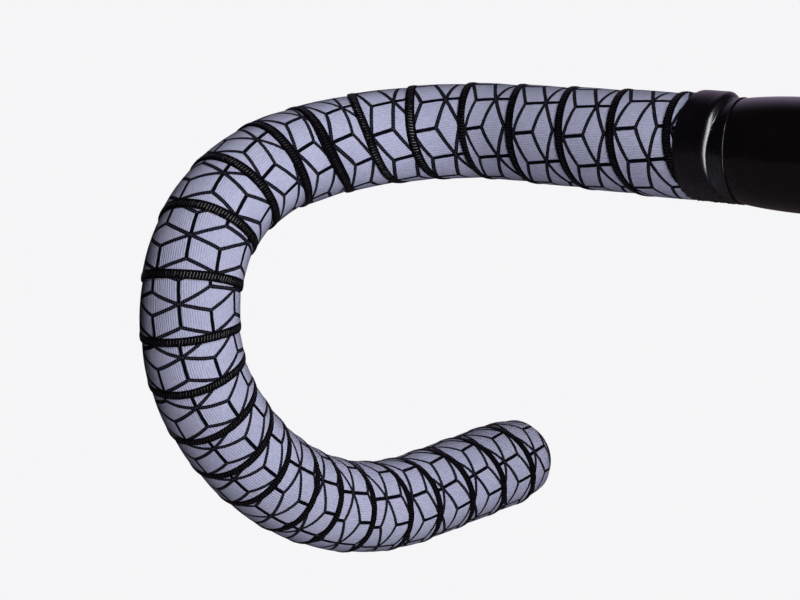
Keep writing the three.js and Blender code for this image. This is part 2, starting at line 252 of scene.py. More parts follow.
def guide_at(turns):
    """Distance along the bar at turns, on a smooth curve through the turns' places."""
    first, last = 2 * TURN_AT[0] - TURN_AT[1], 2 * TURN_AT[-1] - TURN_AT[-2]
    marks = np.array([2 * first - TURN_AT[0], first, *TURN_AT, last, 2 * last - TURN_AT[-1]])
    at = np.clip(turns + 2, 1, len(marks) - 2.001)
    low = at.astype(int)
    u = at - low
    a, b, c, d = (marks[low + k] for k in (-1, 0, 1, 2))
    return b + u / 2 * (c - a + u * (2 * a - 5 * b + 4 * c - d + u * (3 * (b - c) + d - a)))


def turn_angle(turns):
    return 2 * np.pi * turns + np.radians(stops(TURN_PHASE, turns))


def edge_at(turns):
    """Where a turn's edge lies along the bar, and how much its side of a bend is stretched."""
    guide = guide_at(turns)
    angles = turn_angle(turns)
    _, _, normals, sides, _ = frames_at(guide)
    bends = np.stack([np.interp(guide, EVERY_MM, part) for part in EASED_BEND.T], axis=1)
    reach = spokes_at(normals, sides, angles) * taped_radius(guide)[:, None]
    stretch = 1 - CLOTH_GIVE * (bends * reach).sum(1)
    lean = stops(LEAN_IN, turns) * np.cos(angles) + stops(LEAN_ASIDE, turns) * np.sin(angles)
    return guide + lean - GUIDE_OFFSET / stretch, stretch


def end_plane(plane, s, angles):
    """Where a slanted end lies along the bar, at angles round it."""
    _, _, normals, sides, _ = frames_at(s)
    spokes = spokes_at(normals, sides, angles)
    return BAR_LENGTH - plane[0] - plane[1] * spokes[:, 2] - plane[2] * spokes[:, 1]


def tape_limit(guide, angles):
    return end_plane(TAPE_END, np.minimum(guide, BAR_LENGTH - 80), angles)


# Meshes made from arrays
def linked(name, data):
    obj = bpy.data.objects.new(name, data)
    bpy.context.collection.objects.link(obj)
    return obj


def mesh_piece(name, points, faces, material, smooth=True):
    """A mesh object at the origin from points in millimetres."""
    mesh = bpy.data.meshes.new(name)
    mesh.from_pydata([tuple(p) for p in np.asarray(points) * MM], [], [tuple(f) for f in faces])
    mesh.validate()
    mesh.materials.append(material)
    if smooth:
        mesh.shade_smooth()
    return linked(name, mesh)


def helper_line(name, points, joined=True, **vectors):
    """Vertices in metres, which carry vectors for a node tree to read."""
    mesh = bpy.data.meshes.new(name)
    edges = [(i, i + 1) for i in range(len(points) - 1)] if joined else []
    mesh.from_pydata([tuple(p) for p in points], edges, [])
    for label, values in vectors.items():
        attribute = mesh.attributes.new(label, VECTORS, "POINT")
        attribute.data.foreach_set("vector", np.asarray(values, np.float32).ravel())
    return linked(name, mesh)


def band_faces(rings, count, closed):
    """Quads between rings of points; a closed band joins its last ring to its first."""
    faces = []
    for i in range(rings if closed else rings - 1):
        near, far = i * count, (i + 1) % rings * count
        for k in range(count):
            step = (k + 1) % count
            faces.append((near + k, near + step, far + step, far + k))
    return faces


def face_outwards(obj):
    """Flips the faces of a closed mesh if they are inside out."""
    mesh = obj.data
    mesh.calc_loop_triangles()
    volume = 0.0
    for tri in mesh.loop_triangles:
        a, b, c = (mesh.vertices[i].co for i in tri.vertices)
        volume += a.dot(b.cross(c))
    if volume < 0:
        mesh.flip_normals()
    return obj


# Node trees
def put(tree, kind, inputs=None, **settings):
    """Adds a shader node, or a node of another family; an input may be a socket."""
    node = tree.nodes.new(kind if "Node" in kind else "ShaderNode" + kind)
    for key, value in settings.items():
        setattr(node, key, value)
    for key, value in (inputs or {}).items():
        socket = node.inputs[key] if isinstance(key, int) else next(
            i for i in node.inputs if i.name == key and i.enabled)
        if isinstance(value, bpy.types.NodeSocket):
            tree.links.new(value, socket)
        else:
            socket.default_value = value
    return node


def geo(tree, kind, inputs=None, **settings):
    return put(tree, "GeometryNode" + kind, inputs, **settings).outputs[0]


def math_node(tree, operation, a, b=0.0, c=0.0):
    return put(tree, "Math", {0: a, 1: b, 2: c}, operation=operation).outputs[0]


def plus(tree, a, b):
    return math_node(tree, "ADD", a, b)


def minus(tree, a, b):
    return math_node(tree, "SUBTRACT", a, b)


def times(tree, a, b):
    return math_node(tree, "MULTIPLY", a, b)


def over(tree, a, b):
    return math_node(tree, "DIVIDE", a, b)


def hypotenuse(tree, a, b):
    return math_node(tree, "SQRT", plus(tree, times(tree, a, a), times(tree, b, b)))


def split(tree, vector):
    return put(tree, "SeparateXYZ", {0: vector}).outputs


def join(tree, x=0.0, y=0.0, z=0.0):
    return put(tree, "CombineXYZ", {0: x, 1: y, 2: z}).outputs[0]


def scaled(tree, vector, factor):
    return put(tree, "VectorMath", {0: vector, "Scale": factor}, operation="SCALE").outputs[0]


def added(tree, *vectors):
    total = vectors[0]
    for vector in vectors[1:]:
        total = put(tree, "VectorMath", {0: total, 1: vector}, operation="ADD").outputs[0]
    return total


def mixed_value(tree, factor, a, b):
    node = put(tree, "Mix", {"Factor": factor, "A": a, "B": b}, data_type="FLOAT")
    return next(o for o in node.outputs if o.enabled)


def new_group(name, kind, inputs, outputs):
    """A node group with (name, socket type, default) inputs and (name, socket type) outputs."""
    tree = bpy.data.node_groups.new(name, kind)
    for label, socket_type, *default in inputs:
        socket = tree.interface.new_socket(label, in_out="INPUT", socket_type="NodeSocket" + socket_type)
        if default:
            socket.default_value = default[0]
    for label, socket_type in outputs:
        tree.interface.new_socket(label, in_out="OUTPUT", socket_type="NodeSocket" + socket_type)
    return tree, tree.nodes.new("NodeGroupInput").outputs, tree.nodes.new("NodeGroupOutput").inputs


def set_input(modifier, label, value):
    """Sets a modifier's input by its socket's identifier."""
    for item in modifier.node_group.interface.items_tree:
        if item.item_type == "SOCKET" and item.in_out == "INPUT" and item.name == label:
            modifier[item.identifier] = value
            return
    raise ValueError(label)


def grown(name, base, tree, values):
    """A new object with the mesh that a Geometry Nodes tree makes from a base object."""
    modifier = base.modifiers.new(name, "NODES")
    modifier.node_group = tree
    for label, value in values.items():
        set_input(modifier, label, value)
    depsgraph = bpy.context.evaluated_depsgraph_get()
    mesh = bpy.data.meshes.new_from_object(base.evaluated_get(depsgraph), depsgraph=depsgraph)
    mesh.name = name
    base.modifiers.remove(modifier)
    return linked(name, mesh)


def discard(*objects):
    for obj in objects:
        bpy.data.meshes.remove(obj.data)


# Helper shapes for the ribbon's tree
def rim_squeeze(s):
    """How flat the ribbon is pressed towards the bar end and in the bore."""
    return np.interp(s, (0.0, 7.0), (0.55, 1.0))


def rim_path(s):
    """Place along the bar, radius and tilt of the ribbon's surface, for s along the ribbon.

    The surface is straight along the bar, rounds the rim, crosses the tube's end and enters the bore."""
    s = np.asarray(s, float)
    radius = taped_radius(s)
    place = s.copy()
    tilt = np.zeros_like(s)
    outer = taped_radius(0.0)
    corner = RIM_ROUND - RIM_FACE
    walked = corner - s
    quarter = np.pi / 2 * RIM_ROUND
    face = outer - RIM_ROUND - FOLD_RADIUS - BORE_ROUND
    inner_quarter = np.pi / 2 * BORE_ROUND
    rim = (walked > 0) & (walked <= quarter)
    angle = walked[rim] / RIM_ROUND
    place[rim] = corner - RIM_ROUND * np.sin(angle)
    radius[rim] = outer - RIM_ROUND * (1 - np.cos(angle))
    tilt[rim] = angle
    walked = walked - quarter
    flat = (walked > 0) & (walked <= face)
    place[flat] = -RIM_FACE
    radius[flat] = outer - RIM_ROUND - walked[flat]
    tilt[flat] = np.pi / 2
    walked = walked - face
    turn = (walked > 0) & (walked <= inner_quarter)
    angle = walked[turn] / BORE_ROUND
    place[turn] = BORE_ROUND - RIM_FACE - BORE_ROUND * np.cos(angle)
    radius[turn] = FOLD_RADIUS + BORE_ROUND * (1 - np.sin(angle))
    tilt[turn] = np.pi / 2 + angle
    walked = walked - inner_quarter
    bore = walked > 0
    place[bore] = BORE_ROUND - RIM_FACE + np.minimum(walked[bore], FOLD_DEPTH)
    radius[bore] = FOLD_RADIUS
    tilt[bore] = np.pi
    return place, radius, tilt


GUIDE_LOW = -40.0


def bar_guide():
    """A straight line with a vertex for each millimetre of the bar, which carries its frames."""
    s = np.arange(GUIDE_LOW, BAR_LENGTH, 1.0)
    place, radius, tilt = rim_path(s)
    points, along, normals, sides, _ = frames_at(place)
    form = np.c_[radius * MM, tilt, rim_squeeze(s)]
    line = [((value - GUIDE_LOW) * MM, 0, 0) for value in s]
    frames = {"centre": points * MM, "across": normals, "side": sides, "along": along}
    return helper_line("bar_guide", line, form=form, **frames)


def winding_line(name, turns):
    """A line with one vertex for each section of the ribbon, which carries where that section lies."""
    own, stretch = edge_at(turns)
    lapping, _ = edge_at(turns + 1)
    limit = tape_limit(own, turn_angle(turns))
    own = np.minimum(own, limit - 0.5)
    lapping = np.minimum(lapping, limit)
    lie = np.c_[(own - GUIDE_LOW) * MM, (lapping - own) * MM, turn_angle(turns)]
    lattice = turns * 2 * STARS_A_TURN * STAR_HALF_SPACING
    lattice += stops(STAR_SLIP, turns) - CLOTH_SKEW * GUIDE_OFFSET
    cloth = np.c_[lattice * MM, stretch, stops(ROW_SLIP, turns) * MM]
    return helper_line(name, [(i * MM, 0, 0) for i in range(len(turns))], lie=lie, cloth=cloth)


# Section of the ribbon, from its edge to under the next turn and back along its inner face.
# Each point is (distance from the edge, share of the way to the next edge, height over the mean surface).
RIBBON_SECTION = (
    (0.25, 0, -0.75), (0.0, 0, -0.45), (-0.12, 0, -0.12), (-0.02, 0, 0.14), (0.3, 0, 0.27), (0.9, 0, 0.3),
    (1.6, 0, 0.29), (2.15, 0, 0.24), (2.45, 0, 0.17), (2.9, 0, 0.13), (3.9, 0, 0.12),
    (3.2, 0.2, 0.09), (2.4, 0.4, 0.03), (1.6, 0.6, -0.06), (0.8, 0.8, -0.16), (0, 0.97, -0.28),
    (0.6, 1, -0.42), (2.0, 1, -0.75), (3.0, 1, -0.95), (3.0, 1, -1.6), (0, 1, -1.35),
    (1.5, 0.5, -1.1), (1.5, 0, -0.95),
)


def ribbon_section():
    points = [(mm * MM, share, height * MM) for mm, share, height in RIBBON_SECTION]
    return helper_line("ribbon_section", points, joined=False)


def carried(tree, name):
    return geo(tree, "InputNamedAttribute", {"Name": name}, data_type=VECTORS)


def picked(tree, source, value, index):
    """A vector of one vertex of another mesh."""
    return geo(tree, "SampleIndex", {"Geometry": source, "Value": value, "Index": index},
               data_type=VECTORS, domain="POINT")


def along_guide(tree, curve, name, length):
    """A vector that the bar's guide carries, at a length along it."""
    inputs = {"Curves": curve, "Value": carried(tree, name), "Length": length}
    return put(tree, "GeometryNodeSampleCurve", inputs, data_type=VECTORS, mode="LENGTH",
               use_all_curves=True).outputs["Value"]


def stored(tree, geometry, name, value, data_type, domain="POINT"):
    return geo(tree, "StoreNamedAttribute", {"Geometry": geometry, "Name": name, "Value": value},
               data_type=data_type, domain=domain)


def swept(tree, spine, outline):
    return geo(tree, "CurveToMesh", {"Curve": spine, "Profile Curve": outline, "Fill Caps": True})


def close_tree(tree, end, geometry, material):
    """Ends a tree in one smooth mesh with its material."""
    real = geo(tree, "RealizeInstances", {"Geometry": geometry})
    smooth = geo(tree, "SetShadeSmooth", {"Geometry": real, "Shade Smooth": True})
    tree.links.new(geo(tree, "SetMaterial", {"Geometry": smooth, "Material": material}), end[0])
    return tree


def ribbon_tree():
    """Geometry Nodes: winds a ribbon of a given section round the bar."""
    tree, given, end = new_group("lapped_ribbon", "GeometryNodeTree", [
        ("Winding", "Geometry"),
        ("Bar guide", "Object"),
        ("Section", "Object"),
        ("Sections", "Int", 100),
        ("Section points", "Int", 12),
        ("Skew", "Float", CLOTH_SKEW),
        ("Material", "Material"),
    ], [("Ribbon", "Geometry")])
    spine = geo(tree, "CurvePrimitiveLine", {"End": (0, 0, 1)})
    spine = geo(tree, "ResampleCurve", {"Curve": spine, "Count": given["Sections"]})
    outline = geo(tree, "CurvePrimitiveCircle", {"Resolution": given["Section points"]})
    skin = swept(tree, spine, outline)

    index = geo(tree, "InputIndex")
    row = math_node(tree, "FLOOR", over(tree, plus(tree, index, 0.5), given["Section points"]))
    column = minus(tree, index, times(tree, row, given["Section points"]))
    section = put(tree, "GeometryNodeObjectInfo", {"Object": given["Section"]}).outputs["Geometry"]
    profile = split(tree, picked(tree, section, geo(tree, "InputPosition"), column))
    lie = split(tree, picked(tree, given["Winding"], carried(tree, "lie"), row))
    cloth = split(tree, picked(tree, given["Winding"], carried(tree, "cloth"), row))

    share = times(tree, profile["Y"], lie["Y"])
    reach = plus(tree, over(tree, profile["X"], cloth["Y"]), share)
    length = plus(tree, lie["X"], reach)
    guide = put(tree, "GeometryNodeObjectInfo", {"Object": given["Bar guide"]}).outputs["Geometry"]
    curve = geo(tree, "MeshToCurve", {"Mesh": guide})
    form = split(tree, along_guide(tree, curve, "form", length))
    across, side = (along_guide(tree, curve, name, length) for name in ("across", "side"))
    spoke = added(tree, scaled(tree, across, math_node(tree, "COSINE", lie["Z"])),
                  scaled(tree, side, math_node(tree, "SINE", lie["Z"])))
    height = times(tree, profile["Z"], form["Z"])
    outwards = math_node(tree, "MULTIPLY_ADD", height, math_node(tree, "COSINE", form["Y"]), form["X"])
    backwards = times(tree, times(tree, height, math_node(tree, "SINE", form["Y"])), -1.0)
    spot = added(tree, along_guide(tree, curve, "centre", length), scaled(tree, spoke, outwards),
                 scaled(tree, along_guide(tree, curve, "along", length), backwards))

    inwards = times(tree, reach, cloth["Y"])
    flat = join(tree, math_node(tree, "MULTIPLY_ADD", inwards, given["Skew"], cloth["X"]), inwards)
    slipped = stored(tree, skin, "row_slip", cloth["Z"], "FLOAT")
    kept = stored(tree, slipped, "flat", flat, VECTORS)
    moved = geo(tree, "SetPosition", {"Geometry": kept, "Position": spot})
    mapped = stored(tree, moved, "ribbon", carried(tree, "flat"), "FLOAT2", "CORNER")
    cleaned = geo(tree, "RemoveAttribute", {"Geometry": mapped, "Name": "flat"})
    return close_tree(tree, end, cleaned, given["Material"])


def rib_tree():
    """Geometry Nodes: lays raised cross threads along a selvedge."""
    tree, given, end = new_group("selvedge_ribs", "GeometryNodeTree", [
        ("Selvedge", "Geometry"),
        ("Pitch", "Float", RIB_PITCH * MM),
        ("Reach", "Float", 0.0024),
        ("Thread radius", "Float", 0.00033),
        ("Crown", "Float", 0.0002),
        ("Seed", "Int", 3),
        ("Material", "Material"),
    ], [("Ribs", "Geometry")])
    half = times(tree, given["Reach"], 0.5)
    near, far = join(tree, y=times(tree, half, -1.0)), join(tree, y=half)
    spine = geo(tree, "CurvePrimitiveLine", {"Start": near, "End": far})
    spine = geo(tree, "ResampleCurve", {"Curve": spine, "Count": 5})
    factor = put(tree, "GeometryNodeSplineParameter").outputs["Factor"]
    aside = math_node(tree, "MULTIPLY_ADD", factor, 2.0, -1.0)
    fall = times(tree, times(tree, aside, aside), given["Crown"])
    spine = geo(tree, "SetPosition", {"Geometry": spine, "Offset": join(tree, z=times(tree, fall, -1.0))})
    outline = geo(tree, "CurvePrimitiveCircle", {"Resolution": 6, "Radius": given["Thread radius"]})
    thread = swept(tree, spine, outline)
    path = geo(tree, "MeshToCurve", {"Mesh": given["Selvedge"]})
    path = geo(tree, "ResampleCurve", {"Curve": path, "Length": given["Pitch"]}, mode="LENGTH")
    facing = put(tree, "FunctionNodeAxesToRotation",
                 {"Primary Axis": carried(tree, "out"), "Secondary Axis": carried(tree, "travel")},
                 primary_axis="Z", secondary_axis="X").outputs[0]

    def drawn(low, high, data_type=VECTORS):
        return put(tree, "FunctionNodeRandomValue", {"Min": low, "Max": high, "Seed": given["Seed"]},
                   data_type=data_type).outputs

    lean = drawn((0, 0, -0.28), (0, 0, -0.21))[0]
    lean = put(tree, "FunctionNodeEulerToRotation", {"Euler": lean}).outputs[0]
    turned = put(tree, "FunctionNodeRotateRotation", {"Rotation": facing, "Rotate By": lean},
                 rotation_space="LOCAL").outputs[0]
    size = drawn((0.95, 0.97, 0.92), (1.03, 1.03, 1.08))[0]
    inputs = {"Points": path, "Instance": thread, "Rotation": turned, "Scale": size}
    laid = geo(tree, "InstanceOnPoints", inputs)
    toned = stored(tree, laid, "thread_tone", drawn(0.0, 1.0, "FLOAT")[1], "FLOAT", "INSTANCE")
    return close_tree(tree, end, toned, given["Material"])


def selvedge_line(turns, across, height):
    """A line along a selvedge, which carries its direction and the way straight out."""
    own, stretch = edge_at(turns)
    place, radius, tilt = rim_path(own + across / stretch)
    points, along, normals, sides, _ = frames_at(place)
    spokes = spokes_at(normals, sides, turn_angle(turns))
    out = np.cos(tilt)[:, None] * spokes - np.sin(tilt)[:, None] * along
    lifted = height - 0.3 * (1 - rim_squeeze(own))
    path = points + spokes * radius[:, None] + out * lifted[:, None]
    travel = np.gradient(path, axis=0)
    travel /= np.linalg.norm(travel, axis=1)[:, None]
    return helper_line("selvedge_line", path * MM, travel=travel, out=out)


# Materials
def srgb(red, green, blue):
    values = [v / 255 for v in (red, green, blue)]
    return (*[v / 12.92 if v <= 0.04045 else ((v + 0.055) / 1.055) ** 2.4 for v in values], 1)


def mix_colours(tree, factor, a, b):
    node = put(tree, "Mix", {"Factor": factor, "A": a, "B": b}, data_type="RGBA")
    return next(o for o in node.outputs if o.enabled)


def remap(tree, value, low, high, to_low=0.0, to_high=1.0):
    return put(tree, "MapRange", {"Value": value, "From Min": low, "From Max": high, "To Min": to_low,
                                  "To Max": to_high}, interpolation_type="SMOOTHSTEP").outputs[0]


def noise(tree, vector, scale, detail=2.0, roughness=0.5):
    return put(tree, "TexNoise", {"Vector": vector, "Scale": scale, "Detail": detail,
                                  "Roughness": roughness}).outputs[0]


def new_material(name, **plain):
    """A material with a Principled shader whose plain values sit on its own sockets."""
    material = bpy.data.materials.new(name)
    material.use_nodes = True
    tree = material.node_tree
    shader = next(n for n in tree.nodes if n.type == "BSDF_PRINCIPLED")
    for key, value in plain.items():
        shader.inputs[key.replace("_", " ")].default_value = value
    return material, tree, shader


def dress(tree, shader, colour, roughness, normal):
    for label, socket in (("Base Color", colour), ("Roughness", roughness), ("Normal", normal)):
        tree.links.new(socket, shader.inputs[label])


def object_place(tree):
    return put(tree, "TexCoord").outputs["Object"]


def diamond_lattice_group():
    """The ribbon's printed lines, in millimetres: stars joined by upright and slanted lines."""
    tree, given, end = new_group("diamond_lattice", "ShaderNodeTree", [
        ("Cloth", "Vector"),
        ("Half spacing", "Float", STAR_HALF_SPACING),
        ("Edge", "Float", LATTICE_EDGE),
        ("Row", "Float", GUIDE_OFFSET),
        ("Line width", "Float", LINE_WIDTH),
        ("Knot", "Float", 0.38),
        ("Wander", "Float", 0.25),
        ("Stitch pitch", "Float", 0.77),
    ], [("Line", "Float"), ("Stitch", "Float")])
    sway = put(tree, "TexNoise", {"Vector": given["Cloth"], "Scale": 0.22, "Detail": 2.0}).outputs["Color"]
    sway = added(tree, sway, (-0.5, -0.5, -0.5))
    cloth = split(tree, added(tree, given["Cloth"], scaled(tree, sway, given["Wander"])))
    half, edge = given["Half spacing"], given["Edge"]
    rise = times(tree, edge, 1.5)
    low = times(tree, edge, 0.5)
    slant = hypotenuse(tree, half, low)
    du = math_node(tree, "PINGPONG", cloth["X"], half)
    dv = math_node(tree, "PINGPONG", minus(tree, cloth["Y"], given["Row"]), rise)
    reaches, slants, runs = [], [], []
    for side, up in ((du, dv), (minus(tree, half, du), minus(tree, rise, dv))):
        past = math_node(tree, "MAXIMUM", minus(tree, up, edge), 0.0)
        upright = hypotenuse(tree, side, past)
        cross = minus(tree, times(tree, side, low), times(tree, up, half))
        slanted = over(tree, math_node(tree, "ABSOLUTE", cross), slant)
        knot = minus(tree, hypotenuse(tree, side, up), given["Knot"])
        reaches.append(math_node(tree, "MINIMUM", math_node(tree, "MINIMUM", upright, slanted), knot))
        slants.append(slanted)
        runs.append(over(tree, plus(tree, times(tree, side, half), times(tree, up, low)), slant))
    walked = mixed_value(tree, math_node(tree, "LESS_THAN", *slants), runs[1], runs[0])
    nearest = math_node(tree, "MINIMUM", *reaches)
    width = times(tree, given["Line width"], 0.5)
    line = remap(tree, nearest, minus(tree, width, 0.1), plus(tree, width, 0.1), 1.0, 0.0)
    beat = math_node(tree, "PINGPONG", walked, times(tree, given["Stitch pitch"], 0.5))
    beat = remap(tree, over(tree, beat, given["Stitch pitch"]), 0.15, 0.4)
    core = remap(tree, math_node(tree, "MINIMUM", *slants), 0.1, 0.32, 1.0, 0.0)
    tree.links.new(line, end["Line"])
    tree.links.new(times(tree, times(tree, beat, core), line), end["Stitch"])
    return tree


def wave(tree, turns):
    """Rises and falls between 0 and 1, once a turn."""
    cosine = math_node(tree, "COSINE", times(tree, turns, 2 * math.pi))
    return math_node(tree, "MULTIPLY_ADD", cosine, 0.5, 0.5)


def rib_weave_group():
    """Fine ribs across the ribbon, each bound down by short stitches, in millimetres, with painted shade
    in the grooves between the ribs.
    """
    tree, given, end = new_group("rib_weave", "ShaderNodeTree", [
        ("Cloth", "Vector"),
        ("Rib pitch", "Float", 0.72),
        ("Stitch pitch", "Float", 0.8),
        ("Unevenness", "Float", 0.5),
    ], [("Height", "Float"), ("Groove shade", "Float")])
    parts = split(tree, given["Cloth"])
    sway = times(tree, minus(tree, noise(tree, given["Cloth"], 0.9), 0.5), given["Unevenness"])
    turn = over(tree, plus(tree, parts["X"], sway), given["Rib pitch"])
    offset = times(tree, math_node(tree, "ROUND", turn), 0.5)
    beat = wave(tree, plus(tree, over(tree, parts["Y"], given["Stitch pitch"]), offset))
    height = times(tree, wave(tree, turn), math_node(tree, "MULTIPLY_ADD", beat, 0.35, 0.65))
    runs = put(tree, "Mapping", {"Vector": given["Cloth"], "Scale": (1.4, 0.4, 1.0)}).outputs[0]
    patches = remap(tree, noise(tree, runs, 1.0), 0.35, 0.62)
    tree.links.new(height, end["Height"])
    # The groove output is painted shade: darker where the ribs are low, in patches
    tree.links.new(times(tree, remap(tree, height, 0.0, 0.42, 1.0, 0.0), patches), end["Groove shade"])
    return tree


def mottle_group():
    """Uneven dye or polish: a broad and a fine cloudiness round one half."""
    tree, given, end = new_group("mottle", "ShaderNodeTree", [
        ("Place", "Vector"),
        ("Broad", "Float", 40.0),
        ("Fine", "Float", 900.0),
        ("Fine share", "Float", 0.4),
    ], [("Shade", "Float")])
    broad = noise(tree, given["Place"], given["Broad"], 3.0)
    fine = noise(tree, given["Place"], given["Fine"])
    tree.links.new(mixed_value(tree, given["Fine share"], broad, fine), end["Shade"])
    return tree


def speck_group():
    """Grains of dust in a few cells of a cell pattern."""
    tree, given, end = new_group("dust_specks", "ShaderNodeTree", [
        ("Place", "Vector"),
        ("Cells", "Float", 260.0),
        ("Size", "Float", 0.06),
        ("Share", "Float", 0.06),
    ], [("Dust", "Float")])
    cells = put(tree, "TexVoronoi", {"Vector": given["Place"], "Scale": given["Cells"]}).outputs
    pick = put(tree, "SeparateColor", {0: cells["Color"]}).outputs
    chosen = math_node(tree, "LESS_THAN", pick["Red"], given["Share"])
    size = times(tree, given["Size"], plus(tree, pick["Green"], 0.4))
    dot = math_node(tree, "LESS_THAN", cells["Distance"], size)
    tree.links.new(times(tree, chosen, dot), end["Dust"])
    return tree


GROUPS = {
    "lattice": diamond_lattice_group(),
    "ribs": rib_weave_group(),
    "mottle": mottle_group(),
    "specks": speck_group(),
}


def use_group(tree, group, inputs):
    return put(tree, "Group", inputs, node_tree=GROUPS[group]).outputs


def mottled(tree, place, broad, fine, share):
    inputs = {"Place": place, "Broad": broad, "Fine": fine, "Fine share": share}
    return use_group(tree, "mottle", inputs)["Shade"]


def dusted(tree, colour, dust, place, cells, size, share, cover):
    """Lays grains of dust on a colour."""
    inputs = {"Place": place, "Cells": cells, "Size": size, "Share": share}
    grains = times(tree, use_group(tree, "specks", inputs)["Dust"], cover)
    return mix_colours(tree, grains, colour, dust)


def bump(tree, height, distance, strength=1.0):
    return put(tree, "Bump", {"Height": height, "Distance": distance, "Strength": strength}).outputs[0]


def woven_ribbon_material():
    material, tree, shader = new_material("woven_ribbon", Specular_IOR_Level=0.04, Diffuse_Roughness=0.1)
    cloth = scaled(tree, put(tree, "UVMap", uv_map="ribbon").outputs[0], 1 / MM)
    slip = put(tree, "Attribute", attribute_name="row_slip").outputs["Fac"]
    slip = join(tree, y=times(tree, slip, 1 / MM))
    lattice = use_group(tree, "lattice", {"Cloth": added(tree, cloth, slip)})
    ribs = use_group(tree, "ribs", {"Cloth": cloth})
    shade = mottled(tree, object_place(tree), 40.0, 900.0, 0.4)
    along, across = split(tree, cloth)[:2]
    field = mix_colours(tree, remap(tree, shade, 0.3, 0.7), srgb(176, 178, 208), srgb(191, 193, 222))
    # Painted shade darkens the cloth in the grooves between the ribs
    field = mix_colours(tree, times(tree, ribs["Groove shade"], 0.3), field, srgb(104, 100, 132))
    lines = mix_colours(tree, times(tree, lattice["Stitch"], 0.42), srgb(6, 6, 15), srgb(92, 88, 108))
    colour = mix_colours(tree, lattice["Line"], field, lines)
    # The black selvedge starts where the first turn comes out over the bar end
    selvedge = remap(tree, across, SELVEDGE_WIDTH, SELVEDGE_WIDTH + 0.2, 1.0, 0.0)
    selvedge = times(tree, selvedge, remap(tree, along, 42.0, 50.0))
    colour = mix_colours(tree, selvedge, colour, srgb(7, 6, 12))
    # Painted shade: the cloth is darkened towards its outlines, where it is seen edge on
    painted_edge_shade = put(tree, "LayerWeight", {"Blend": 0.5}).outputs["Facing"]
    colour = mix_colours(tree, remap(tree, painted_edge_shade, 0.4, 0.95, 0.0, 0.5), colour, srgb(28, 25, 36))
    roughness = remap(tree, shade, 0.2, 0.8, 0.62, 0.8)
    printed = math_node(tree, "MULTIPLY_ADD", lattice["Line"], 0.7, ribs["Height"])
    dress(tree, shader, colour, roughness, bump(tree, printed, 0.00014))
    return material


def selvedge_material():
    material, tree, shader = new_material("selvedge_thread", Specular_IOR_Level=0.9)
    place = object_place(tree)
    tone = put(tree, "Attribute", attribute_name="thread_tone").outputs["Fac"]
    shade = mottled(tree, place, 300.0, 2500.0, 0.6)
    colour = mix_colours(tree, times(tree, tone, shade), srgb(3, 2, 6), srgb(10, 8, 14))
    roughness = remap(tree, shade, 0.3, 0.7, 0.36, 0.46)
    dress(tree, shader, colour, roughness, bump(tree, noise(tree, place, 5000.0), 0.000006))
    return material


def adhesive_tape_material():
    material, tree, shader = new_material("adhesive_tape", Specular_IOR_Level=1.0)
    place = object_place(tree)
    wraps = scaled(tree, put(tree, "UVMap", uv_map="wrap").outputs[0], 1 / MM)
    shade = mottled(tree, place, 120.0, 1400.0, 0.3)
    colour = mix_colours(tree, shade, srgb(8, 6, 10), srgb(15, 12, 18))
    colour = dusted(tree, colour, srgb(170, 165, 165), place, 520.0, 0.09, 0.03, 0.6)
    # Duller underneath, where it is stretched over the step
    upright = split(tree, put(tree, "NewGeometry").outputs["Normal"])["Z"]
    strained = remap(tree, upright, -0.45, -0.8, 0.0, 0.28)
    roughness = plus(tree, remap(tree, shade, 0.3, 0.7, 0.22, 0.28), strained)
    creases = put(tree, "Mapping", {"Vector": wraps, "Scale": (0.05, 1.3, 1.0)}).outputs[0]
    creases = noise(tree, creases, 1.0, 3.0, 0.6)
    height = math_node(tree, "MULTIPLY_ADD", noise(tree, place, 3200.0), 0.08, creases)
    dress(tree, shader, colour, roughness, bump(tree, height, 0.00012, 0.6))
    return material


def tube_material():
    material, tree, shader = new_material("gloss_black_tube", Coat_Weight=0.6, Coat_Roughness=0.06)
    place = object_place(tree)
    shade = mottled(tree, place, 60.0, 1800.0, 0.3)
    colour = mix_colours(tree, shade, srgb(7, 5, 5), srgb(13, 9, 10))
    colour = dusted(tree, colour, srgb(150, 145, 145), place, 150.0, 0.05, 0.006, 1.0)
    roughness = remap(tree, shade, 0.2, 0.8, 0.22, 0.34)
    dress(tree, shader, colour, roughness, bump(tree, noise(tree, place, 700.0), 0.00001, 0.4))
    return material


def plug_material():
    material, tree, shader = new_material("plug_plastic")
    place = object_place(tree)
    shade = mottled(tree, place, 90.0, 2200.0, 0.5)
    colour = mix_colours(tree, shade, srgb(20, 20, 22), srgb(34, 33, 36))
    colour = dusted(tree, colour, srgb(150, 148, 146), place, 420.0, 0.06, 0.04, 0.5)
    roughness = remap(tree, shade, 0.3, 0.7, 0.42, 0.58)
    grain = put(tree, "TexVoronoi", {"Vector": place, "Scale": 2400.0}).outputs["Distance"]
    dress(tree, shader, colour, roughness, bump(tree, grain, 0.00006, 0.5))
    return material


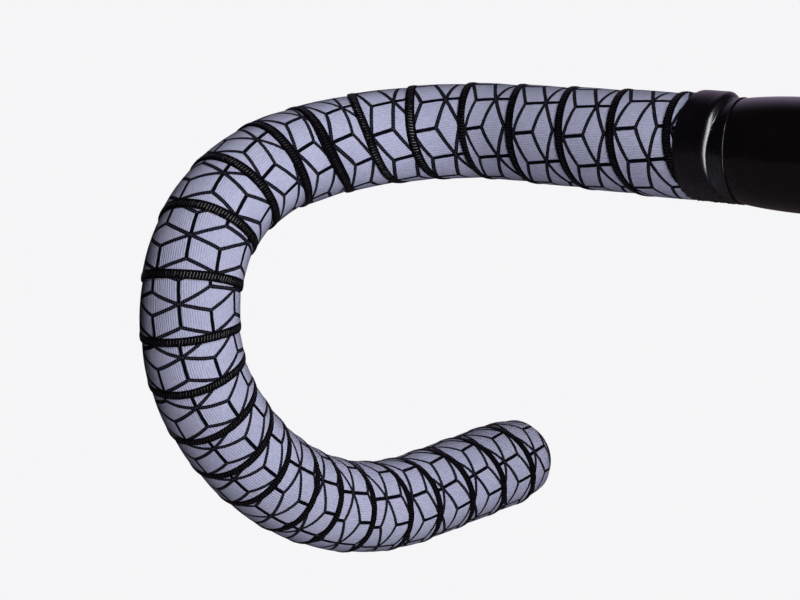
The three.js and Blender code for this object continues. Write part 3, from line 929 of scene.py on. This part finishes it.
# Pieces
def finish_outer(s, angles):
    """Outer radius of the finishing tape at distances from the bar end and angles round the bar."""
    _, _, normals, sides, _ = frames_at(s)
    spokes = spokes_at(normals, sides, angles)
    up = spokes[:, 2]
    across = FINISH_RADIUS * angles
    # Folds underneath and shallow waves all round
    below = np.clip(-up - 0.45, 0, 1) * 2
    folds = below * (0.22 * np.sin(2.1 * across + 1.2 * s) + 0.1 * np.sin(3.3 * across - 0.7 * s))
    waves = 0.05 * np.sin(3 * angles + 0.45 * s) + 0.03 * np.sin(7 * angles - 0.8 * s)
    over_tape = FINISH_RADIUS + FINISH_LIFT * up + folds + waves
    over_tube = tube_radius(s) + 0.1 + FINISH_THICKNESS + 0.3 * (folds + waves)
    shoulder = (over_tape - over_tube) * (2 - 0.6 * up**2) / FINISH_SLOPE
    shoulder = shoulder + FINISH_BRIDGE * np.clip((-up - 0.75) * 4, 0, 1)
    eased = FINISH_EASE * (1 - 1.5 * up**2) + 1.4 * np.minimum(up, 0)
    down = (s - end_plane(TAPE_END, s, angles) + eased) / shoulder
    down = np.mean([np.clip(down + step, 0, 1) ** 2 for step in (-0.09, -0.03, 0.03, 0.09)], axis=0)
    return np.maximum(over_tube, over_tape + (over_tube - over_tape) * down)


def under_finishing_tape(obj, drop):
    """Presses whatever lies under the finishing tape below its inner face."""
    mesh = obj.data
    points = np.empty(len(mesh.vertices) * 3)
    mesh.vertices.foreach_get("co", points)
    points = points.reshape(-1, 3) / MM
    middle = BAR_LENGTH - FINISH_FROM
    centre, along, normal, side, _ = (part[0] for part in frames_at(middle))
    away = points - centre
    reach = away @ along
    radial = away - reach[:, None] * along
    radius = np.linalg.norm(radial, axis=1)
    near = (reach > -2.0) & (radius < 30.0) & (points[:, 0] > -130.0)
    s = middle + reach[near]
    angles = np.arctan2(radial[near] @ side, radial[near] @ normal)
    limit = finish_outer(s, angles) - drop
    lead_in, spare = 1.6, 1.2
    ease = np.clip((reach[near] + lead_in) / lead_in, 0, 1)
    pressed = np.minimum(radius[near], limit + (1 - ease) * spare)
    points[near] += radial[near] * (pressed / radius[near] - 1)[:, None]
    mesh.vertices.foreach_set("co", (points * MM).ravel())
    mesh.update()


def last_turn():
    turns = np.linspace(20, 28, 8 * 360 + 1)
    own, _ = edge_at(turns)
    past = own > tape_limit(own, turn_angle(turns)) - 1.0
    return turns[np.argmax(past)]


def make_ribbon(material):
    last = last_turn() + 0.5
    count = int((last - FIRST_TURN) * SECTIONS_A_TURN)
    turns = np.linspace(FIRST_TURN, last, count)
    winding, guide, section = winding_line("winding", turns), bar_guide(), ribbon_section()
    ribbon = grown("woven_ribbon", winding, ribbon_tree(), {
        "Bar guide": guide,
        "Section": section,
        "Sections": count,
        "Section points": len(RIBBON_SECTION),
        "Material": material,
    })
    discard(winding, guide, section)
    under_finishing_tape(ribbon, FINISH_THICKNESS + 0.08)
    return ribbon


def make_selvedge_ribs(material):
    turns = np.linspace(0.62, last_turn(), 3400)
    line = selvedge_line(turns, across=1.2, height=0.05)
    ribs = grown("selvedge_ribs", line, rib_tree(), {"Material": material})
    discard(line)
    under_finishing_tape(ribs, FINISH_THICKNESS + 0.1)
    return ribs


def ring_points(s, angles, radius):
    """Points round the bar, where distance from the end and radius may change."""
    points, _, normals, sides, _ = frames_at(np.broadcast_to(s, angles.shape))
    return points + spokes_at(normals, sides, angles) * np.broadcast_to(radius, angles.shape)[:, None]


def make_tube(material):
    bare, chamfer = 112, 0.3
    fine = np.arange(0.6, bare, 1.0)
    coarse = np.arange(bare, BAR_LENGTH - 0.4, 3.5)
    outer = [0, 0.15, *fine, *coarse, BAR_LENGTH - chamfer, BAR_LENGTH]
    outside = [BAR_LENGTH - c for c in outer]
    radii = [tube_radius(s) for s in outside]
    radii[0] -= chamfer
    radii[-1] -= chamfer
    inner = [*outer[::-4], 0]
    inside = [BAR_LENGTH - c for c in inner]
    bores = [tube_radius(s) - TUBE_WALL for s in inside]
    angles = np.linspace(0, 2 * np.pi, 72, endpoint=False)
    rings = [ring_points(s, angles, radius) for s, radius in zip(outside + inside, radii + bores)]
    faces = band_faces(len(rings), len(angles), True)
    return face_outwards(mesh_piece("handlebar_tube_gloss", np.concatenate(rings), faces, material))


def make_finishing_tape(material):
    count = 180
    angles = np.linspace(0, 2 * np.pi, count, endpoint=False)
    first = np.full(count, BAR_LENGTH - FINISH_FROM)
    last = end_plane(FINISH_TO, np.full(count, BAR_LENGTH - 85), angles)
    shares = np.linspace(0, 1, 96)
    places = [first + (last - first) * share for share in shares]
    rings = [ring_points(s, angles, finish_outer(s, angles)) for s in places]
    inside = places[::-8]
    rings += [ring_points(s, angles, finish_outer(s, angles) - FINISH_THICKNESS) for s in inside]
    faces = band_faces(len(rings), count, True)
    tape = mesh_piece("finishing_tape_vinyl", np.concatenate(rings), faces, material)
    layer = tape.data.uv_layers.new(name="wrap")
    stations = np.concatenate(places + inside)
    for loop, uv in zip(tape.data.loops, layer.data):
        around = loop.vertex_index % count / count * 2 * math.pi
        uv.uv = (around * FINISH_RADIUS * MM, stations[loop.vertex_index] * MM)
    return face_outwards(tape)


def arc(centre, radius, first, last, count):
    """Points (radius from the axis, distance outwards) on an arc, in degrees from straight out."""
    sweep = np.radians(np.linspace(first, last, count))
    return [(centre[0] + radius * math.cos(a), centre[1] + radius * math.sin(a)) for a in sweep]


def make_plug(material):
    core = PLUG_STEM_RADIUS - 0.4
    top = PLUG_SEAT + PLUG_CAP_THICKNESS
    rounding = PLUG_CAP_THICKNESS / 2
    profile = [(core - PLUG_WALL, PLUG_SEAT - 1), (core - PLUG_WALL, -PLUG_LENGTH), (core, -PLUG_LENGTH)]
    for k in range(3):
        at = -PLUG_LENGTH + 3 + 6 * k
        profile += [(core, at), (core + 0.4, at + 0.8), (core + 0.5, at + 2.2)]
        profile += [(core + 0.3, at + 2.9), (core, at + 3.2)]
    profile += [(core, PLUG_SEAT), (PLUG_CAP_RADIUS - 0.3, PLUG_SEAT)]
    profile += arc((PLUG_CAP_RADIUS - rounding, top - rounding), rounding, -40, 90, 12)
    profile += [(7.6, top + 0.12), (7.3, top + 0.02), (7.1, top - 0.2)]
    profile += [(6.7, top - 0.2), (6.5, top + 0.02), (6.2, top + 0.16)]
    profile += [(4.0, top + 0.27), (2.0, top + 0.34), (0.5, top + 0.36)]
    count = 72
    point, along, normal, side, _ = (part[0] for part in frames_at(0.0))
    angles = np.linspace(0, 2 * np.pi, count, endpoint=False)
    spokes = spokes_at(normal, side, angles)
    points = np.concatenate([point - along * out + spokes * radius for radius, out in profile])
    faces = band_faces(len(profile), count, False)
    faces.append(tuple(range(count))[::-1])
    faces.append(tuple(range((len(profile) - 1) * count, len(profile) * count)))
    return face_outwards(mesh_piece("end_plug_moulded", points, faces, material))


# Camera, lamps and floor
CAMERA_AT = (0.2527, -0.5207, 0.0682)
CAMERA_TURN = 42.13
CAMERA_DROP = 10.18
CAMERA_ROLL = -0.13
FOCAL_PIXELS = 2220.0
IMAGE_WIDTH = 800
SENSOR_WIDTH = 36
BAR_MIDDLE = (-0.15, -0.02, -0.05)
FLOOR_RADIUS = 6000.0
FLOOR_HEIGHT = -900.0
BACKDROP = srgb(246, 245, 247)


def set_camera():
    """Places the fitted camera; returns its level direction and the one it looks in."""
    turn, drop, roll = (math.radians(v) for v in (CAMERA_TURN, CAMERA_DROP, CAMERA_ROLL))
    ahead = Vector((-math.sin(turn) * math.cos(drop), math.cos(turn) * math.cos(drop), -math.sin(drop)))
    right = Vector((math.cos(turn), math.sin(turn), 0))
    up = right.cross(ahead)
    level = right * math.cos(roll) + up * math.sin(roll)
    up = up * math.cos(roll) - right * math.sin(roll)
    data = bpy.data.cameras.new("camera")
    data.sensor_width = SENSOR_WIDTH
    data.lens = FOCAL_PIXELS * SENSOR_WIDTH / IMAGE_WIDTH
    data.clip_start = 0.01
    camera = linked("camera", data)
    basis = Matrix((level, up, -ahead)).transposed()
    camera.matrix_world = Matrix.Translation(CAMERA_AT) @ basis.to_4x4()
    bpy.context.scene.camera = camera
    return level, ahead


def soft_box(name, target, away, size, power, mirrored=True):
    """A rectangular lamp which faces a target from an offset."""
    data = bpy.data.lights.new(name, "AREA")
    data.shape = "RECTANGLE"
    data.size, data.size_y = size
    data.energy = power
    lamp = linked(name, data)
    lamp.location = target + away
    lamp.rotation_euler = (-away).to_track_quat("-Z", "Y").to_euler()
    lamp.visible_camera = False
    lamp.visible_glossy = mirrored


def mixed_shader(tree, factor, a, b):
    return put(tree, "MixShader", {0: factor, 1: a, 2: b}).outputs[0]


def glow(tree, kind, colour, strength):
    return put(tree, kind, {"Color": colour, "Strength": strength}).outputs[0]


def kinds_of_ray(tree):
    """Whether the camera sees this, and whether a glossy surface mirrors it."""
    path = put(tree, "LightPath").outputs
    seen = math_node(tree, "MAXIMUM", path["Is Camera Ray"], path["Is Transmission Ray"])
    return seen, path["Is Glossy Ray"]


def set_world(side):
    """A pale backdrop, which glossy surfaces see as a dark room with haze behind the bar."""
    world = bpy.data.worlds.new("studio")
    bpy.context.scene.world = world
    world.use_nodes = True
    tree = world.node_tree
    tree.nodes.clear()
    seen, mirrored = kinds_of_ray(tree)
    direction = put(tree, "TexCoord").outputs["Generated"]
    facing = put(tree, "VectorMath", {0: direction, 1: tuple(side)}, operation="DOT_PRODUCT")
    behind = remap(tree, facing.outputs["Value"], 0.5, 0.98, 0.0, 0.4)
    room = glow(tree, "Background", srgb(236, 236, 242), 0.01)
    haze = glow(tree, "Background", srgb(238, 214, 252), behind)
    paper = glow(tree, "Background", BACKDROP, 1.0)
    light = mixed_shader(tree, seen, mixed_shader(tree, mirrored, room, haze), paper)
    tree.links.new(light, put(tree, "OutputWorld").inputs[0])


def set_floor():
    """A wide floor below the bar, which fades into the backdrop."""
    count = 96
    angles = np.linspace(0, 2 * np.pi, count, endpoint=False)
    rim = [(FLOOR_RADIUS * math.cos(a), FLOOR_RADIUS * math.sin(a), FLOOR_HEIGHT) for a in angles]
    material, tree, shader = new_material("pale_floor", Roughness=0.9)
    shader.inputs["Base Color"].default_value = srgb(236, 235, 238)
    seen, mirrored = kinds_of_ray(tree)
    away = put(tree, "VectorMath", {0: object_place(tree)}, operation="LENGTH").outputs["Value"]
    fade = remap(tree, away, 0.3, 1.6, 0.75, 1.0)
    paper = glow(tree, "Emission", BACKDROP, 1.0)
    dim = glow(tree, "Emission", srgb(250, 222, 230), 0.06)
    look = mixed_shader(tree, times(tree, seen, fade), shader.outputs[0], paper)
    out = next(n for n in tree.nodes if n.type == "OUTPUT_MATERIAL")
    tree.links.new(mixed_shader(tree, mirrored, look, dim), out.inputs[0])
    mesh_piece("floor", rim, [tuple(range(count))], material, smooth=False)


def set_stage(right, ahead):
    middle = Vector(BAR_MIDDLE)
    side = Vector((ahead.x, ahead.y, 0)).normalized()
    soft_box("key", middle, right * 0.23 - side * 0.56 + Vector((0, 0, 0.2)), (0.24, 1.2), 6.5)
    soft_box("back", middle, right * 0.8 + side * 0.9 + Vector((0, 0, 0.75)), (0.8, 0.8), 4.1, False)
    set_world(side)
    set_floor()


def main():
    set_stage(*set_camera())
    cloth = woven_ribbon_material()
    thread = selvedge_material()
    pieces = (
        (make_ribbon(cloth), "woven_ribbon", ("handlebar_tape",)),
        (make_selvedge_ribs(thread), "woven_ribbon", ()),
        (make_finishing_tape(adhesive_tape_material()), "adhesive_tape", ("finishing_tape",)),
        (make_tube(tube_material()), "gloss_black_tube", ("handlebar_tube",)),
        (make_plug(plug_material()), "plug_plastic", ("end_plug",)),
    )
    for obj, slot, nodes in pieces:
        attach(obj, BODY)
        if nodes:
            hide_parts(*nodes)
    bpy.context.scene.view_settings.view_transform = "Standard"


main()
